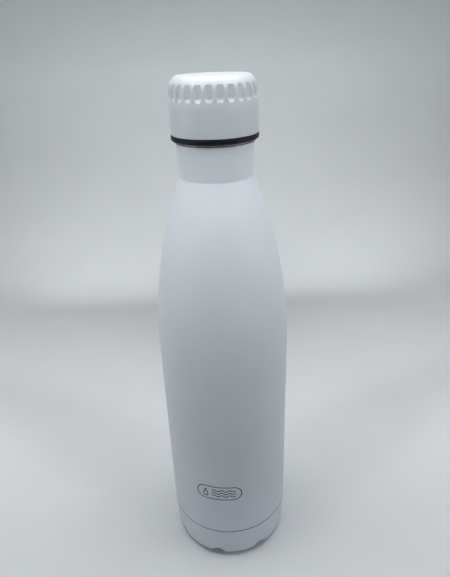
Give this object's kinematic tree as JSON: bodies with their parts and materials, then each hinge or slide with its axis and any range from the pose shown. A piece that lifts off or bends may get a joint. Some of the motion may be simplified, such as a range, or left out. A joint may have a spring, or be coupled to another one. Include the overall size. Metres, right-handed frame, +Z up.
{
  "type": "insulated water bottle",
  "caption": "Slim double-walled steel vacuum bottle with a straight body, long curved shoulder, narrow neck and a fluted screw-in stopper.",
  "frame": {"origin": "centre of the foot, on the surface that the bottle stands on", "axes": "+Z up along the bottle's axis, -Y towards the front, where the printed mark is"},
  "size_m": [0.079, 0.079, 0.306],
  "materials": {
    "body_paint": "fine matte white powder coat with a faint blue-lavender cast",
    "plate_steel": "circular brushed steel",
    "braze": "dull grey metal",
    "liner_steel": "satin stainless steel",
    "silicone": "matte translucent grey silicone",
    "black_plastic": "satin black moulded plastic",
    "foam": "closed-cell foam",
    "cap_plastic": "satin white moulded plastic"
  },
  "bodies": {
    "bottle": {"outer_shell": "body_paint", "base_cup": "body_paint", "bottom_plate": "plate_steel", "vacuum_seal": "braze", "inner_liner": "liner_steel", "liner_bottom": "liner_steel", "getter_retainer": "liner_steel", "getter": "braze"},
    "seal": {"seal_ring": "silicone"},
    "stopper": {"stopper_body": "black_plastic", "stopper_floor": "black_plastic", "foam_insert": "foam", "cap_shell": "cap_plastic"}
  },
  "joints": [
    {"name": "stopper_rise", "type": "slide", "parent": "bottle", "child": "seal", "axis": [0, 0, 1], "range_m": [0, 0.0301]},
    {"name": "stopper_turn", "type": "hinge", "parent": "seal", "child": "stopper", "pos_m": [0, 0, 0.2762], "axis": [0, 0, 1], "range_deg": [0, 1800]}
  ],
  "couplings": [
    {"joint": "stopper_rise", "follows": "stopper_turn", "m_per_rad": 0.00095493}
  ]
}
